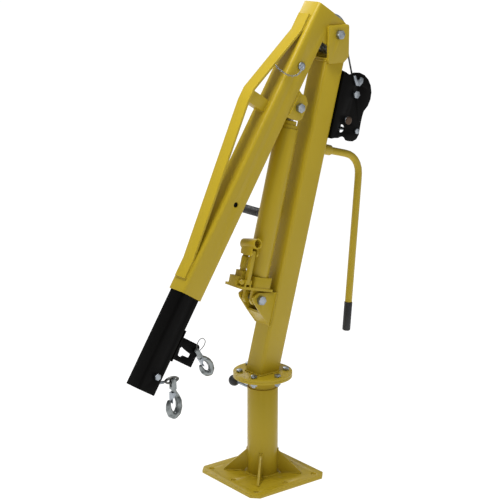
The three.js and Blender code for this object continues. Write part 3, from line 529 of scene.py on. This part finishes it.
def add_rope():
    """The rope from the drum over the head sheave, through the boom and over the tip sheave."""
    drum = mast_point(*DRUM_CENTRE)
    lay_head = HEAD_LAY * MM
    lay_tip = TIP_LAY * MM
    coil = DRUM_LAYERS[-1][0] * MM
    gap = Vector((drum.x - PIVOT.x, 0, drum.z - PIVOT.z))
    leave = math.atan2(gap.z, gap.x) - math.acos((lay_head - coil) / gap.length) + 2.0 * math.pi
    inward = math.radians(BOOM_HANG) + math.atan2(TIP_SHEAVE[0] + TIP_LAY - HEAD_LAY, TIP_SHEAVE[2])
    wound = bead_mesh("rope_on_drum", drum_turns(drum, leave), ROPE_RADIUS * 0.97, False, 0.0, 8)
    add_mesh("rope_on_drum", wound, ROPE, "mast", ("winch_rope",))
    down = Vector((drum.x + coil * math.cos(leave), 0, drum.z + coil * math.sin(leave)))
    over = arc(PIVOT, lay_head, leave, inward, ROPE_STEP)
    add_rope_run("rope_over_head", between(down, over[0], ROPE_STEP) + over[1:], "mast")
    tip = boom_point(*TIP_SHEAVE)
    first = Vector((tip.x + lay_tip * math.cos(inward), 0, tip.z + lay_tip * math.sin(inward)))
    inside = between(over[-1], first, ROPE_STEP * 2)
    add_rope_run("rope_in_boom", inside[:int(len(inside) * 0.66)], "boom")
    facing = Vector((ROPE_END.x - tip.x, 0, ROPE_END.z - tip.z))
    off = math.atan2(facing.z, facing.x) + math.acos(lay_tip / facing.length)
    if off > 0:
        off -= 2.0 * math.pi
    tail = inside[int(len(inside) * 0.6):] + arc(tip, lay_tip, inward, off, ROPE_STEP)[1:]
    tail += between(tail[-1], ROPE_END, ROPE_STEP)[1:]
    add_rope_run("rope_at_tip", tail, "boom_extension")
    ferrule = lathe_mesh("rope_ferrule", [(2.6 * MM, 0), (4.6 * MM, 0.8 * MM), (5.0 * MM, 3 * MM),
                                          (5.0 * MM, 15 * MM), (4.6 * MM, 17 * MM), (2.6 * MM, 18 * MM)], 24)
    heading = (tail[-1] - tail[-8]).normalized()
    turn = Vector((0, 0, 1)).rotation_difference(-heading).to_matrix().to_4x4()
    ferrule.transform(Matrix.Translation(ROPE_END - heading * 0.8 * MM) @ turn)
    add_mesh("rope_ferrule", ferrule, ZINC, "boom_extension")


# ---- chain and small wire --------------------------------------------------------------
def link_mesh(name, centre, along, across, long, wide, wire):
    points = []
    count = 20
    for i in range(count):
        angle = 2.0 * math.pi * i / count
        points.append(centre + along * long * math.cos(angle) + across * wide * math.sin(angle))
    return bead_mesh(name, points, wire, True, 0.0, 8)


def add_chain():
    path = [boom_point(*spot) for spot in ((76, 49, 152), (78, 51, 168), (86, 51, 186), (106, 47, 199),
                                           (132, 39, 200), (150, 31, 196), (159, 27, 191))]
    dense = smooth_curve(path, 120)
    spaced = [dense[0]]
    for point in dense:
        if (point - spaced[-1]).length >= 6.4 * MM:
            spaced.append(point)
    for i in range(len(spaced) - 1):
        along = (spaced[i + 1] - spaced[i]).normalized()
        side = along.cross(Vector((0, 1, 0))).normalized()
        across = side if i % 2 else side.cross(along)
        name = f"chain_link_{i + 1:02d}"
        mesh = link_mesh(name, (spaced[i] + spaced[i + 1]) * 0.5, along, across, 4.6 * MM, 2.6 * MM, 0.8 * MM)
        add_mesh(name, mesh, ZINC, "boom", ("pin_chain",))


def add_safety_wire():
    """The loop of wire that keeps the bracket hook's pin in."""
    pin = boom_point(-52.7, 0, 1070)
    base = pin + Vector((0, 0.0125, 0))
    loop = [base + Vector(offset) for offset in (
        (0.002, 0, 0.001), (0.004, 0.001, 0.018), (-0.004, 0.002, 0.034), (-0.017, 0.002, 0.038),
        (-0.027, 0.002, 0.027), (-0.022, 0.001, 0.012), (-0.008, 0, 0.0))]
    points = smooth_curve(loop, 60)
    add_mesh("hook_pin_wire", bead_mesh("hook_pin_wire", points, 1.3 * MM, False, 0.0, 8), ROPE,
             "boom_extension")


# ---- crank bush and grip -----------------------------------------------------------------
CRANK_BUSH = (-95, 51.1, 837)
GRIP_AXIS = (71.7, 0, 493.5)


def add_crank_bush():
    """Bronze disc over the collar and the shaft's end, where the bush's flange would show."""
    mesh = lathe_mesh("crank_bush", [(7.6 * MM, 0.0), (13.2 * MM, 0.0), (13.2 * MM, 1.0 * MM),
                                     (12.4 * MM, 1.8 * MM), (7.6 * MM, 1.8 * MM)], 40)
    spot = mast_point(*CRANK_BUSH)
    mesh.transform(Matrix.Translation(spot) @ Matrix.Rotation(math.radians(-90), 4, "X"))
    add_mesh("crank_bush", mesh, BRONZE, "crank")


def add_crank_grip():
    profile = [(7.0, 75.3), (12.6, 75.3), (14.3, 77.0), (14.8, 80.0), (14.3, 84.0), (12.2, 88.0)]
    ribs = 14
    for i in range(ribs):
        base = 92.0 + i * 5.6
        profile += [(12.6, base), (14.2, base + 1.2), (14.4, base + 2.8),
                    (14.2, base + 4.0), (12.6, base + 5.0)]
    profile += [(13.4, 172.5), (14.9, 177.0), (14.6, 181.5), (12.0, 184.6), (6.0, 185.8)]
    mesh = lathe_mesh("crank_grip_ribbed", [(r * MM, z * MM) for r, z in profile])
    axis = mast_point(*GRIP_AXIS)
    mesh.transform(Matrix.Translation(axis) @ Matrix.Rotation(math.radians(90), 4, "X"))
    add_mesh("crank_grip_ribbed", mesh, GRIP, "crank_grip", ("crank_grip",))


dress_nodes()
add_camera()
add_studio()
add_welds()
add_boom_welds()
add_rope()
add_chain()
add_safety_wire()
add_crank_bush()
add_crank_grip()
